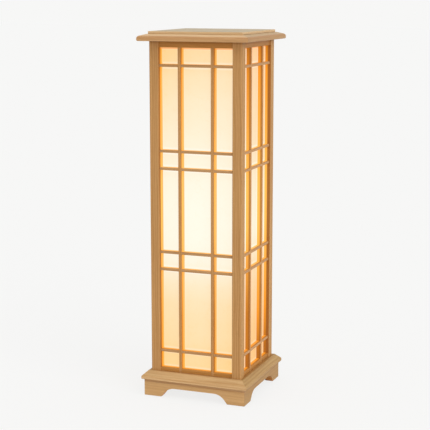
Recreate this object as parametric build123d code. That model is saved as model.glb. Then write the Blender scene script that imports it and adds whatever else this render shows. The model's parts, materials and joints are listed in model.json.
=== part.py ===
from build123d import *

import os

# A square floor lantern. Four posts carry tenoned rails and half-lapped lattice bars with paper behind them.
# It stands on a moulded base with bracket feet, and a moulded cap lifts off its top.
# Millimetres, +Z up, origin on the floor under the middle of the lantern. The front face looks along -Y.

# Overall
overall_height = 900.0
body_width = 236.0  # across the outer faces of the posts

# Posts
post_width = 24.0
post_arris = 1.5

# Rails, flush with the lattice
lattice_recess = 3.0  # lattice front behind the posts' outer faces
bar_depth = 12.0
bar_arris = 0.4
bottom_rail_height = 9.5
top_rail_height = 15.0
tenon_length = 7.0
tenon_thickness = 5.0
tenon_shoulder = 2.0
tenon_end_gap = 0.5

# Lattice bars
upright_width = 7.3
upright_spacing = 84.0
crossbar_height = 6.5
edge_band = 43.0  # from a rail to the middle of the nearest crossbar
pair_spacing = 42.7  # between the middles of two paired crossbars
housing_end_gap = 1.0  # wall between two bars that meet in one post
upright_tenon_height = 6.0

# Paper and the beads that hold it
paper_thickness = 1.0
paper_edge_gap = 0.5
paper_bottom_gap = 2.0
paper_top_gap = 6.0
bead_size = 6.0

# Cap
cap_overhang = 23.0  # cap edge outside the posts
cap_moulding_height = 16.5
cap_moulding_width = 56.0
cap_edge_height = 11.3  # up to the corner where the slope starts
cap_slope_width = 18.0
cap_top_round = 7.0
cap_bottom_round = 3.0
cap_panel_overhang = 2.0  # raised panel edge outside the posts
cap_panel_thickness = 6.5
cap_panel_round = 1.2
cap_panel_quirk = 1.0  # chamfer under the panel's edge

# Cleats under the cap
cleat_length = 120.0
cleat_width = 10.0
cleat_height = 12.0
cleat_paper_gap = 1.0
cleat_screw_spacing = 80.0

# Base
base_overhang = 20.0  # nosing outside the posts
base_moulding_height = 28.0
base_moulding_width = 50.0
base_flat_overhang = 6.0  # flat top outside the posts
base_slope_height = 13.0
base_edge_height = 7.5
base_nosing_round = 2.0
base_cove = 4.0
foot_pad_thickness = 1.5
foot_pad_radius = 14.0

# Aprons with bracket feet
apron_setback = 6.0  # apron face behind the nosing
apron_thickness = 20.0
apron_top = 36.0
arch_top = 25.0
foot_width = 43.5
foot_slant = 19.3  # how far the foot's inner edge leans over the arch
arch_round = 36.0
foot_arris = 0.8
corner_block_size = 20.0

# Base board
board_thickness = 9.0
board_edge_gap = 0.5
vent_radius = 9.0
vent_circle_radius = 52.0
vent_count = 6
board_screw_spacing = 120.0

# Screws: shank radius, head radius, length
wood_screw = (1.75, 3.5)
post_screw_length = 50.0
board_screw_length = 24.0
cleat_screw_length = 23.0
screw_clearance = 0.15
screw_edge = 1.2  # flat rim of a countersunk head
recess_width = 0.9
recess_depth = 1.0
post_screw_inset = 11.5  # from a post's side face
post_screw_setback = 5.0  # from a post's front face

# Lamp pipe and what is on it
pipe_radius = 5.0
pipe_bore_radius = 4.0
pipe_fit = 0.15
pipe_drop = 8.5  # below the base board
nut_across_flats = 14.0
nut_height = 5.0
washer_radius = 12.0
washer_thickness = 1.5
bushing_bore_radius = 3.3
bushing_sleeve_length = 8.0
bushing_flange_radius = 6.5
bushing_flange_thickness = 1.5

# Lamp holder, heights from its lower end
glow_height = 432.0  # middle of the bulb's globe above the floor
holder_radius = 20.0
holder_wall = 2.0
holder_cap_height = 24.0
holder_floor = 8.0
holder_step = 14.0
holder_shell_height = 30.0
holder_mouth_radius = 14.6
holder_lip = 3.0
insert_height = 8.0
insert_fit = 0.2
thread_shell_radius = 13.7
thread_shell_wall = 0.5
thread_shell_height = 24.0
contact_width = 5.0
contact_thickness = 0.8
contact_rise = 4.4

# Bulb, heights from its tip
globe_radius = 30.0
globe_wall = 1.2
globe_middle = 78.0
globe_seat = 64.0
bulb_tip_gap = 0.3
bulb_tip_height = 2.0
insulator_height = 4.0
screw_cap_radius = 13.1
screw_cap_wall = 0.6
screw_cap_height = 22.0
bulb_fit = 0.1

# Planes and heights shared by several pieces
post_outer = body_width / 2
post_inner = post_outer - post_width
lattice_front = post_outer - lattice_recess
lattice_back = lattice_front - bar_depth
lattice_middle = (lattice_front + lattice_back) / 2
base_top = apron_top + base_moulding_height
body_top = overall_height - cap_panel_thickness - cap_moulding_height
post_length = body_top - base_top
bottom_rail_top = base_top + bottom_rail_height
top_rail_bottom = body_top - top_rail_height
upright_x = upright_spacing / 2
paper_face = lattice_back - paper_thickness
paper_bottom = base_top + paper_bottom_gap
paper_top = body_top - paper_top_gap
housing_depth = lattice_back - post_inner - housing_end_gap
cap_half = post_outer + cap_overhang
cap_inner = cap_half - cap_moulding_width
base_half = post_outer + base_overhang
base_inner = base_half - base_moulding_width
apron_half = base_half - apron_setback
apron_inner = apron_half - apron_thickness
board_half = apron_inner - board_edge_gap
board_bottom = apron_top - board_thickness
board_screw_setback = (base_inner + board_half) / 2
cleat_outer = paper_face - cleat_paper_gap
cleat_bottom = body_top - cleat_height
bulb_tip = glow_height - globe_middle
holder_bottom = bulb_tip - bulb_tip_gap - contact_rise - holder_step - insert_height
pipe_bottom = board_bottom - pipe_drop
pipe_top = holder_bottom + holder_floor

# The crossbars leave a low band at each end and two low bands between three equal tall panes.
lowest_crossbar = bottom_rail_top + edge_band
highest_crossbar = top_rail_bottom - edge_band
tall_pane = (highest_crossbar - lowest_crossbar - 2 * pair_spacing) / 3
crossbar_levels = []
for pane in range(3):
    pane_low = lowest_crossbar + pane * (tall_pane + pair_spacing)
    crossbar_levels += [pane_low, pane_low + tall_pane]

# Every face repeats the front one, turned about the lantern's axis.
face_turns = {"front": 0, "right": 90, "back": 180, "left": 270}
post_turns = {"front_right": 0, "back_right": 90, "back_left": 180, "front_left": 270}


# General shapes


def block(x0, x1, y0, y1, z0, z1):
    """Box between two opposite corners."""
    middle = Pos((x0 + x1) / 2, (y0 + y1) / 2, (z0 + z1) / 2)
    return middle * Box(x1 - x0, y1 - y0, z1 - z0)


def outline(corners):
    """Closed face from corners given as (across, up, rounding radius)."""
    points = [(across, up) for across, up, _ in corners]
    radii = [radius for _, _, radius in corners]
    return make_face(FilletPolyline(*points, radius=radii, close=True))


def turned(corners):
    """Solid turned about Z from an outline of (radius, height, rounding radius)."""
    return revolve(Plane.XZ * outline(corners), Axis.Z)


def group(solids):
    """Several loose solids kept as one sub-part."""
    return Compound(children=list(solids))


def around(shape, turns=(0, 90, 180, 270)):
    """Copies of a shape turned about the lantern's axis."""
    return [Rot(0, 0, turn) * shape for turn in turns]


def mitred(corners):
    """Front length of a square frame: a profile of (out from the axis, height, radius) with mitred ends."""
    reach = max(out for out, _, _ in corners) + 1
    top = max(up for _, up, _ in corners)
    looking_left = Plane(origin=(0, 0, 0), x_dir=(0, -1, 0), z_dir=(-1, 0, 0))
    length = extrude(looking_left * outline(corners), amount=reach, both=True)
    wedge = extrude(Polygon((0, 0), (-reach, -reach), (reach, -reach)), amount=top + 1)
    return length & wedge


def rail_bar(half_length, height):
    """Bar along X on the lattice line, its lower edge at zero."""
    section = chamfer(Rectangle(bar_depth, height).vertices(), bar_arris)
    bar = extrude(Plane.YZ * section, amount=half_length, both=True)
    return Pos(0, -lattice_middle, height / 2) * bar


def screw(length, clearance=0.0):
    """Countersunk wood screw pointing up, its head's face at zero; with clearance it is the hole for one."""
    shank, head = wood_screw
    neck = screw_edge + head - shank
    body = turned(
        [
            (0, 0, 0),
            (head + clearance, 0, 0),
            (head + clearance, screw_edge, 0),
            (shank + clearance, neck, 0),
            (shank + clearance, length - 2 * shank, 0),
            (0, length + clearance, 0),
        ]
    )
    if clearance:
        return body
    slot = Pos(0, 0, recess_depth / 2) * Box(2 * shank, recess_width, recess_depth)
    return body - slot - Rot(0, 0, 90) * slot


# Where the screws stand, on the front side

post_screw_place = Pos(post_outer - post_screw_inset, post_screw_setback - post_outer, apron_top)
board_screw_places = [
    Pos(side * board_screw_spacing / 2, -board_screw_setback, board_bottom) for side in (-1, 1)
]
cleat_screw_places = [
    Pos(side * cleat_screw_spacing / 2, cleat_width / 2 - cleat_outer, cleat_bottom) for side in (-1, 1)
]


# Posts, rails and lattice


def rail_tenon(height):
    """Tenon on the right end of a front rail whose lower edge is at zero."""
    half = tenon_thickness / 2
    return block(
        post_inner,
        post_inner + tenon_length,
        -lattice_middle - half,
        -lattice_middle + half,
        tenon_shoulder,
        height - tenon_shoulder,
    )


def rail_mortise(height):
    """Room for that tenon, a little deeper than it is long."""
    return rail_tenon(height) + Pos(tenon_end_gap, 0, 0) * rail_tenon(height)


def post():
    """Front right post, with the joints of the two faces that meet in it and the paper's corner notch."""
    middle = (post_outer + post_inner) / 2
    section = RectangleRounded(post_width, post_width, post_arris)
    body = Pos(middle, -middle, base_top) * extrude(section, amount=post_length)
    joints = [
        Pos(0, 0, base_top) * rail_mortise(bottom_rail_height),
        Pos(0, 0, top_rail_bottom) * rail_mortise(top_rail_height),
    ]
    for level in crossbar_levels:
        low = level - crossbar_height / 2
        high = level + crossbar_height / 2
        end = post_inner + housing_depth
        joints.append(block(post_inner, end, -lattice_front, -lattice_back, low, high))
    across_the_corner = Plane((0, 0, 0), x_dir=(0, 0, 1), z_dir=(1, 1, 0))
    for joint in joints:
        body -= joint
        body -= mirror(joint, about=across_the_corner)
    body -= block(post_inner, lattice_back, -lattice_back, -post_inner, base_top, body_top)
    return body - post_screw_place * screw(post_screw_length, screw_clearance)


def upright_notch(low, high):
    """Front half of a front upright between two heights, as cut from a bar that passes behind it."""
    half = upright_width / 2
    return block(-half, half, -lattice_front, -lattice_middle, low, high)


def upright_tenon(height):
    """Tenon on an upright's top end."""
    half = tenon_thickness / 2
    low = top_rail_bottom
    width = upright_width / 2 - bar_arris
    return block(-width, width, -lattice_middle - half, -lattice_middle + half, low, low + height)


def bottom_rail():
    """Front bottom rail, notched for the uprights that run down over it."""
    tenon = rail_tenon(bottom_rail_height)
    rail = rail_bar(post_inner, bottom_rail_height) + tenon + mirror(tenon, about=Plane.YZ)
    rail = Pos(0, 0, base_top) * rail
    for side in (-1, 1):
        rail -= Pos(side * upright_x, 0, 0) * upright_notch(base_top, bottom_rail_top)
    return rail


def top_rail():
    """Front top rail, mortised from below for the uprights' tenons."""
    tenon = rail_tenon(top_rail_height)
    rail = rail_bar(post_inner, top_rail_height) + tenon + mirror(tenon, about=Plane.YZ)
    rail = Pos(0, 0, top_rail_bottom) * rail
    for side in (-1, 1):
        rail -= Pos(side * upright_x, 0, 0) * upright_tenon(upright_tenon_height + tenon_end_gap)
    return rail


def upright():
    """Front upright on the middle line: whole in front, halved behind where the other bars cross."""
    section = chamfer(Rectangle(upright_width, bar_depth).vertices(), bar_arris)
    place = Pos(0, -lattice_middle, base_top)
    bar = place * extrude(section, amount=top_rail_bottom - base_top)
    half = upright_width / 2
    crossings = [(level - crossbar_height / 2, level + crossbar_height / 2) for level in crossbar_levels]
    crossings.append((base_top, bottom_rail_top))
    for low, high in crossings:
        bar -= block(-half, half, -lattice_middle, -lattice_back, low, high)
    return bar + upright_tenon(upright_tenon_height)


def uprights():
    """Both uprights of the front face."""
    return group(Pos(side * upright_x, 0, 0) * upright() for side in (-1, 1))


def crossbar(level):
    """Front crossbar at a height, halved in front where the uprights cross it, its ends housed in the posts."""
    low = level - crossbar_height / 2
    bar = Pos(0, 0, low) * rail_bar(post_inner + housing_depth, crossbar_height)
    for side in (-1, 1):
        bar -= Pos(side * upright_x, 0, 0) * upright_notch(low, low + crossbar_height)
    return bar


def crossbars():
    """All crossbars of the front face."""
    return group(crossbar(level) for level in crossbar_levels)


def paper_panel():
    """Front paper panel, against the back of the lattice and in the posts' notches."""
    half = paper_face - paper_edge_gap
    return block(-half, half, -lattice_back, -paper_face, paper_bottom, paper_top)


def corner_beads():
    """Square beads that hold the panels' edges in the posts' notches."""
    low = paper_face - bead_size
    return group(around(block(low, paper_face, -paper_face, -low, base_top, paper_top)))


# Cap


def cap_moulding():
    """Front moulding of the cap: bullnosed edge and a shallow slope up to the panel."""
    top = body_top + cap_moulding_height
    profile = [
        (cap_inner, body_top, 0),
        (cap_half, body_top, cap_bottom_round),
        (cap_half, body_top + cap_edge_height, cap_top_round),
        (cap_half - cap_slope_width, top, 1.0),
        (cap_inner, top, 0),
    ]
    moulding = mitred(profile)
    for place in cleat_screw_places:
        moulding -= place * screw(cleat_screw_length, screw_clearance)
    return moulding


def cap_panel():
    """Raised panel on the mouldings, with a rounded upper edge and a quirk under it."""
    half = post_outer + cap_panel_overhang
    low = body_top + cap_moulding_height
    panel = block(-half, half, -half, half, low, overall_height)
    panel = fillet(panel.faces().sort_by(Axis.Z)[-1].edges(), cap_panel_round)
    return chamfer(panel.faces().sort_by(Axis.Z)[0].edges(), cap_panel_quirk)


def cap_cleats():
    """Cleats screwed under the mouldings, which locate the cap between the papers."""
    half = cleat_length / 2
    cleat = block(-half, half, -cleat_outer, cleat_width - cleat_outer, cleat_bottom, body_top)
    for place in cleat_screw_places:
        cleat -= place * screw(cleat_screw_length, screw_clearance)
    return group(around(cleat))


def screws_around(places, length):
    """One screw at each place of the front side, and the same on the other three sides."""
    return group(turned_screw for place in places for turned_screw in around(place * screw(length)))


# Base


def base_moulding():
    """Front moulding of the base: flat top, slope, nosing, and a cove above the apron."""
    edge_top = base_top - base_slope_height
    edge_bottom = edge_top - base_edge_height
    profile = [
        (base_inner, apron_top, 0),
        (apron_half, apron_top, 0),
        (apron_half, edge_bottom, base_cove),
        (base_half, edge_bottom, base_cove / 4),
        (base_half, edge_top, base_nosing_round),
        (post_outer + base_flat_overhang, base_top, 1.5),
        (base_inner, base_top, 0),
    ]
    moulding = mitred(profile) - post_screw_place * screw(post_screw_length, screw_clearance)
    for place in board_screw_places:
        moulding -= place * screw(board_screw_length, screw_clearance)
    return moulding


def apron():
    """Front apron: a board on edge with mitred ends, arched between its two feet."""
    board = mitred(
        [
            (apron_inner, foot_pad_thickness, 0),
            (apron_half, foot_pad_thickness, foot_arris),
            (apron_half, apron_top, 0),
            (apron_inner, apron_top, 0),
        ]
    )
    toe = apron_half - foot_width
    arch = outline(
        [
            (-toe, 0, 0),
            (foot_slant - toe, arch_top, arch_round),
            (toe - foot_slant, arch_top, arch_round),
            (toe, 0, 0),
        ]
    )
    return board - extrude(Plane.XZ * arch, amount=base_half)


def corner_blocks():
    """Square blocks glued into the corners behind the feet."""
    low = apron_inner - corner_block_size
    return group(around(block(low, apron_inner, -apron_inner, -low, foot_pad_thickness, board_bottom)))


def foot_pads():
    """Round felt pads under the four feet."""
    pad = Cylinder(foot_pad_radius, foot_pad_thickness, align=(Align.CENTER, Align.CENTER, Align.MIN))
    return group(around(Pos(apron_inner, -apron_inner, 0) * pad))


def base_board():
    """Board under the base mouldings, with a hole for the lamp pipe, vent holes and screw holes."""
    board = block(-board_half, board_half, -board_half, board_half, board_bottom, apron_top)
    middle = Pos(0, 0, (board_bottom + apron_top) / 2)
    board -= middle * Cylinder(pipe_radius + pipe_fit, board_thickness)
    for vent in PolarLocations(vent_circle_radius, vent_count):
        board -= middle * vent * Cylinder(vent_radius, board_thickness)
    for place in board_screw_places:
        for hole in around(place * screw(board_screw_length, screw_clearance)):
            board -= hole
    return board


# Lamp


def ring(inner, outer, low, high):
    """Plain ring about the lantern's axis."""
    return turned([(inner, low, 0), (outer, low, 0), (outer, high, 0), (inner, high, 0)])


def lamp_pipe():
    """Steel pipe that carries the lamp holder and the lead."""
    return ring(pipe_bore_radius, pipe_radius, pipe_bottom, pipe_top)


def pipe_nut(low):
    """Hexagon nut on the pipe."""
    blank = extrude(RegularPolygon(nut_across_flats / 2, 6, major_radius=False), amount=nut_height)
    hole = Cylinder(pipe_radius + pipe_fit, 3 * nut_height)
    return Pos(0, 0, low) * (blank - hole)


def pipe_nuts():
    """Nuts above and below the base board, and one under the lamp holder."""
    below = board_bottom - washer_thickness - nut_height
    above = apron_top + washer_thickness
    return group(pipe_nut(low) for low in (below, above, holder_bottom - nut_height))


def pipe_washers():
    """Washers on both faces of the base board."""
    bore = pipe_radius + pipe_fit
    below = board_bottom - washer_thickness
    return group(
        ring(bore, washer_radius, low, low + washer_thickness) for low in (below, apron_top)
    )


def cord_bushing():
    """Flanged sleeve in the pipe's lower end, where the lead comes in."""
    sleeve = pipe_bore_radius - pipe_fit
    return turned(
        [
            (bushing_bore_radius, pipe_bottom - bushing_flange_thickness, 0.4),
            (bushing_flange_radius, pipe_bottom - bushing_flange_thickness, 0.4),
            (bushing_flange_radius, pipe_bottom, 0),
            (sleeve, pipe_bottom, 0),
            (sleeve, pipe_bottom + bushing_sleeve_length, 0),
            (bushing_bore_radius, pipe_bottom + bushing_sleeve_length, 0),
        ]
    )


def holder_cap():
    """Lower half of the lamp holder: a cup on the pipe's end, with a step that carries the insert."""
    bore = pipe_radius + pipe_fit
    inside = holder_radius - holder_wall
    return Pos(0, 0, holder_bottom) * turned(
        [
            (bore, 0, 0),
            (holder_radius * 0.7, 0, 2),
            (holder_radius, holder_floor + 2, 3),
            (holder_radius, holder_cap_height, 0),
            (inside, holder_cap_height, 0),
            (inside, holder_step, 0),
            (inside - holder_wall, holder_step, 0),
            (inside - holder_wall, holder_floor, 0),
            (bore, holder_floor, 0),
        ]
    )


def holder_insert():
    """Disc that carries the live contact and the thread shell."""
    radius = holder_radius - holder_wall - insert_fit
    low = holder_bottom + holder_step
    return turned([(0, low, 0), (radius, low, 0), (radius, low + insert_height, 0.8), (0, low + insert_height, 0)])


def holder_shell():
    """Outer shell of the lamp holder, seated on the cap's rim, with a lip around its mouth."""
    low = holder_bottom + holder_cap_height
    high = low + holder_shell_height
    inside = holder_radius - holder_wall
    return turned(
        [
            (holder_radius, low, 0),
            (holder_radius, high, 2),
            (holder_mouth_radius, high, 1),
            (holder_mouth_radius, high - holder_lip, 0),
            (inside, high - holder_lip, 0),
            (inside, low, 0),
        ]
    )


def holder_thread_shell():
    """Metal shell that the bulb screws into."""
    low = holder_bottom + holder_step + insert_height
    outer = thread_shell_radius + thread_shell_wall
    return ring(thread_shell_radius, outer, low, low + thread_shell_height)


def holder_contact():
    """Sprung strip that touches the bulb's tip."""
    low = holder_bottom + holder_step + insert_height
    reach = 6.0
    strip = outline(
        [
            (-reach, 0, 0),
            (reach, 0, 0),
            (reach, contact_thickness, 0),
            (contact_thickness - reach / 2, contact_thickness, 0),
            (reach / 2, contact_rise - contact_thickness, 0),
            (reach / 2, contact_rise, 0),
            (-reach, contact_thickness, 0),
        ]
    )
    return Pos(0, 0, low) * extrude(Plane.XZ * strip, amount=contact_width / 2, both=True)


# Bulb


def bulb_tip_contact():
    """Solder tip of the bulb."""
    return Pos(0, 0, bulb_tip) * turned([(0, 0, 0), (3.4, 0, 1), (4.8, bulb_tip_height, 0), (0, bulb_tip_height, 0)])


def bulb_insulator():
    """Insulating cone between the tip and the screw cap."""
    low = bulb_tip + bulb_tip_height
    radius = screw_cap_radius - screw_cap_wall
    return turned([(0, low, 0), (6.5, low, 1), (radius, low + insulator_height, 0), (0, low + insulator_height, 0)])


def bulb_screw_cap():
    """Metal screw cap of the bulb."""
    low = bulb_tip + bulb_tip_height + insulator_height
    return ring(screw_cap_radius - screw_cap_wall, screw_cap_radius, low, low + screw_cap_height)


def bulb_housing():
    """Housing from inside the screw cap to the globe's seat."""
    low = bulb_tip_height + insulator_height
    rim = low + screw_cap_height
    seat = (globe_radius**2 - (globe_middle - globe_seat) ** 2) ** 0.5
    spigot = screw_cap_radius - screw_cap_wall - bulb_fit
    neck = screw_cap_radius + 0.4
    return Pos(0, 0, bulb_tip) * turned(
        [
            (0, low, 0),
            (spigot, low, 0),
            (spigot, rim, 0),
            (neck, rim, 0),
            (neck, rim + 5, 8),
            (seat, globe_seat - 6, 8),
            (seat, globe_seat, 0),
            (0, globe_seat, 0),
        ]
    )


def bulb_globe():
    """Opal globe, a thin shell open at its seat on the housing."""
    shell = Sphere(globe_radius) - Sphere(globe_radius - globe_wall)
    seat = globe_seat - globe_middle
    cut = block(-globe_radius, globe_radius, -globe_radius, globe_radius, -globe_radius, seat)
    return Pos(0, 0, glow_height) * (shell - cut)


# All sub-parts by name

pieces = {f"post_{name}": Rot(0, 0, turn) * post() for name, turn in post_turns.items()}

face_pieces = {
    "top_rail": top_rail(),
    "bottom_rail": bottom_rail(),
    "lattice_uprights": uprights(),
    "lattice_crossbars": crossbars(),
    "paper_panel": paper_panel(),
    "base_moulding": base_moulding(),
    "foot_apron": apron(),
    "cap_moulding": cap_moulding(),
}
for kind, shape in face_pieces.items():
    for face, turn in face_turns.items():
        pieces[f"{kind}_{face}"] = Rot(0, 0, turn) * shape

pieces |= {
    "corner_beads": corner_beads(),
    "corner_blocks": corner_blocks(),
    "foot_pads": foot_pads(),
    "base_board": base_board(),
    "base_board_screws": screws_around(board_screw_places, board_screw_length),
    "post_screws": screws_around([post_screw_place], post_screw_length),
    "cap_panel": cap_panel(),
    "cap_cleats": cap_cleats(),
    "cap_cleat_screws": screws_around(cleat_screw_places, cleat_screw_length),
    "lamp_pipe": lamp_pipe(),
    "pipe_nuts": pipe_nuts(),
    "pipe_washers": pipe_washers(),
    "cord_bushing": cord_bushing(),
    "holder_cap": holder_cap(),
    "holder_insert": holder_insert(),
    "holder_shell": holder_shell(),
    "holder_thread_shell": holder_thread_shell(),
    "holder_contact": holder_contact(),
    "bulb_tip_contact": bulb_tip_contact(),
    "bulb_insulator": bulb_insulator(),
    "bulb_screw_cap": bulb_screw_cap(),
    "bulb_housing": bulb_housing(),
    "bulb_globe": bulb_globe(),
}

os.makedirs("parts", exist_ok=True)
for name, shape in pieces.items():
    export_step(shape, f"parts/{name}.step")
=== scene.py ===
import json
import math

import bmesh
import bpy
import numpy as np
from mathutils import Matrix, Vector

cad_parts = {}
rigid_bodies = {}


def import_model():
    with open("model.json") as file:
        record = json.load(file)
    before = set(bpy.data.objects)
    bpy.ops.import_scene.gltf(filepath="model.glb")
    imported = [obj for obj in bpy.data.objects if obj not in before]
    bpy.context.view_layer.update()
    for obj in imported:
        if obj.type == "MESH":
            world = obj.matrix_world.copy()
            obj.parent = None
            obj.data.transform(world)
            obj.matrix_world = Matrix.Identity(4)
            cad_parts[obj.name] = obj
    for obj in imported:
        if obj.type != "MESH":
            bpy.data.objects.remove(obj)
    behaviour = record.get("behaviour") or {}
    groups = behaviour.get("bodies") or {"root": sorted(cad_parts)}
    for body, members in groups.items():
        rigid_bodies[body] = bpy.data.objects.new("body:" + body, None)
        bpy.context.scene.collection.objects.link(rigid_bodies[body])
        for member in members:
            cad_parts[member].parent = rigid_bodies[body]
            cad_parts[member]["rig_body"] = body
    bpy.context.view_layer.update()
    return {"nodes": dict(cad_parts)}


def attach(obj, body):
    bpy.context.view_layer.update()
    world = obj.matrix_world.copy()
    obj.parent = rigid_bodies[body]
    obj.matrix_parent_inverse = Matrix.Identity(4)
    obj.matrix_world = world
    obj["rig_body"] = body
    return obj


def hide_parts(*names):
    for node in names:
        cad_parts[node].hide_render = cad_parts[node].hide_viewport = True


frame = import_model()
print("frame loaded:", len(frame["nodes"]), "nodes")

faces = ("front", "right", "back", "left")
corners = ("front_left", "front_right", "back_left", "back_right")
mm = 0.001
noiseSpan = (0.3, 0.7)  # most values of a noise lie in it


# Shader helpers

def addNode(tree, kind, plugs=None, **settings):
    # a node with its settings made and its inputs linked or set
    made = tree.nodes.new(kind)
    for name, value in settings.items():
        setattr(made, name, value)
    plugIn(tree, made, plugs or {})
    return made


def plugIn(tree, node, plugs):
    for key, value in plugs.items():
        if isinstance(value, bpy.types.NodeSocket):
            tree.links.new(value, node.inputs[key])
        else:
            node.inputs[key].default_value = value


def calc(tree, operation, *values, clamp=False):
    made = addNode(tree, "ShaderNodeMath", dict(enumerate(values)), operation=operation, use_clamp=clamp)
    return made.outputs[0]


def remap(tree, value, low, high, toLow=0.0, toHigh=1.0, smooth=False):
    plugs = {"Value": value, "From Min": low, "From Max": high, "To Min": toLow, "To Max": toHigh}
    kind = "SMOOTHSTEP" if smooth else "LINEAR"
    return addNode(tree, "ShaderNodeMapRange", plugs, interpolation_type=kind, clamp=True).outputs[0]


def blendColour(tree, amount, first, second, mode="MIX"):
    plugs = {"Factor": amount, 6: first, 7: second}
    return addNode(tree, "ShaderNodeMix", plugs, data_type="RGBA", blend_type=mode).outputs[2]


def stretch(tree, vector, x, y, z):
    plugs = {0: vector, 1: (x, y, z)}
    return addNode(tree, "ShaderNodeVectorMath", plugs, operation="MULTIPLY").outputs[0]


def split(tree, vector):
    return addNode(tree, "ShaderNodeSeparateXYZ", {0: vector}).outputs


def faceNormal(tree):
    return split(tree, addNode(tree, "ShaderNodeNewGeometry").outputs["True Normal"])


def farther(tree, first, second):
    # the larger of two distances from the middle plane
    return calc(tree, "MAXIMUM", calc(tree, "ABSOLUTE", first), calc(tree, "ABSOLUTE", second))


def joinAxes(tree, x, y, z):
    return addNode(tree, "ShaderNodeCombineXYZ", {0: x, 1: y, 2: z}).outputs[0]


def noise(tree, vector, scale, detail=2.0, roughness=0.5, distortion=0.0):
    plugs = {"Vector": vector, "Scale": scale, "Detail": detail, "Roughness": roughness,
             "Distortion": distortion}
    return addNode(tree, "ShaderNodeTexNoise", plugs).outputs[0]


def relief(tree, height, strength, distance):
    plugs = {"Height": height, "Strength": strength, "Distance": distance}
    return addNode(tree, "ShaderNodeBump", plugs).outputs[0]


def objectPlace(tree):
    return addNode(tree, "ShaderNodeTexCoord").outputs["Object"]


def makeGroup(name, inputs, outputs):
    # a shader node group with its sockets; returns the tree, its inputs and its output node
    group = bpy.data.node_groups.new(name, "ShaderNodeTree")
    for label, kind, value in inputs:
        made = group.interface.new_socket(label, in_out="INPUT", socket_type=kind)
        if value is not None:
            made.default_value = value
    for label, kind in outputs:
        group.interface.new_socket(label, in_out="OUTPUT", socket_type=kind)
    return group, group.nodes.new("NodeGroupInput").outputs, group.nodes.new("NodeGroupOutput")


def useGroup(tree, group, plugs):
    made = tree.nodes.new("ShaderNodeGroup")
    made.node_tree = group
    plugIn(tree, made, plugs)
    return made.outputs


def makeMaterial(name):
    material = bpy.data.materials.new(name)
    material.use_nodes = True
    tree = material.node_tree
    return material, tree, tree.nodes["Principled BSDF"]


def srgb(red, green, blue):
    # 8 bit screen colour to linear
    parts = [value / 255 for value in (red, green, blue)]
    return (*[p / 12.92 if p <= 0.04045 else ((p + 0.055) / 1.055) ** 2.4 for p in parts], 1.0)


# Piece helpers

# merging distance in metres, angles in degrees, and the widths of the two kinds of piece in millimetres
easing = {"merge": 1e-6, "flat": 0.5, "segments": 3, "sharperThan": 60.0, "apron": 0.6, "capPanel": 0.7}


def assign(node, material):
    slots = frame["nodes"][node].data.materials
    slots.clear()
    slots.append(material)


def addPiece(name, mesh, material, node, sharpAngle=38.0):
    # shows a finished mesh in place of a CAD node, on the same body and in the same slot
    piece = bpy.data.objects.new(name, mesh)
    bpy.context.scene.collection.objects.link(piece)
    mesh.materials.clear()
    mesh.materials.append(material)
    mesh.shade_smooth()
    mesh.set_sharp_from_angle(angle=math.radians(sharpAngle))
    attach(piece, frame["nodes"][node]["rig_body"])
    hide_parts(node)
    return piece


def easedPiece(node, material, width):
    # a copy of a CAD mesh, its loose triangles merged into flat faces, with its square edges rounded over
    work = bmesh.new()
    work.from_mesh(frame["nodes"][node].data)
    bmesh.ops.remove_doubles(work, verts=work.verts, dist=easing["merge"])
    flat = math.radians(easing["flat"])
    bmesh.ops.dissolve_limit(work, angle_limit=flat, verts=work.verts, edges=work.edges)
    mesh = bpy.data.meshes.new(node + "_eased")
    work.to_mesh(mesh)
    work.free()
    piece = addPiece(node + "_eased", mesh, material, node)
    bevel = piece.modifiers.new("easing", "BEVEL")
    bevel.width = width * mm
    bevel.segments = easing["segments"]
    bevel.limit_method = "ANGLE"
    bevel.angle_limit = math.radians(easing["sharperThan"])
    bevel.harden_normals = True
    return piece


# Wood

# plain sawn oak: for each pattern its scales per millimetre along and across the grain, then what it does
oakFigure = {
    "wander": (0.006, 0.03), "wanderDepth": 12.0,  # slow drift of the rings, in millimetres
    "ripple": (0.02, 0.35), "rippleDepth": 1.6,
    "ringRise": (0.15, 0.9), "ringFall": (0.92, 1.0, 1.0, 0.0),  # darkens over a ring, then drops back
    "streak": (0.0035, 0.22),
    "fibre": (0.06, 2.6), "fibreDepth": 0.22, "fibreRough": 0.16, "fibreLift": 0.35,
    "pore": (0.11, 3.4), "poreFrom": (0.6, 0.72), "poreRough": 0.3,
    "earlyWood": (0.0, 0.55, 1.0, 0.25),  # share of the pores over a ring
}


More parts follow.
